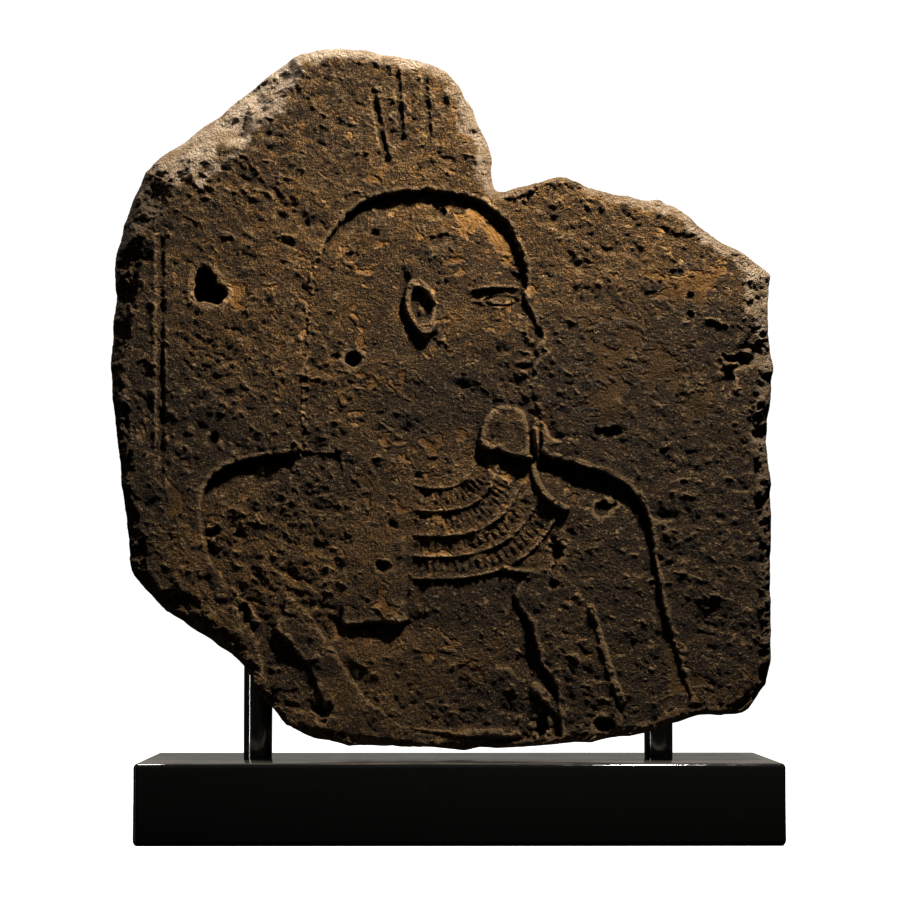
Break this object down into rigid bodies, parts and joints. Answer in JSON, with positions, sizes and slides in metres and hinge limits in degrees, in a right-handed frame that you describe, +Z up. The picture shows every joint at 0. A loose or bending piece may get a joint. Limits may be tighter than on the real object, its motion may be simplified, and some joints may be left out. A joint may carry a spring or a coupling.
{
  "type": "limestone relief",
  "caption": "Broken limestone slab carved in sunk relief with a figure in profile, held upright by steel rods on a low black block.",
  "frame": {"origin": "centre of the base's underside, where it rests on a table", "axes": "+Z up, the carved face looks along -Y, +X to the right when facing the carving"},
  "size_m": [0.4156, 0.15, 0.496],
  "materials": {
    "stone": "rough, dark brown patina with paler breaks",
    "steel": "polished",
    "black_lacquer": "glossy black lacquer"
  },
  "bodies": {
    "root": {"relief_slab": "stone", "rod_left": "steel", "rod_right": "steel", "base_block": "black_lacquer"}
  },
  "joints": []
}
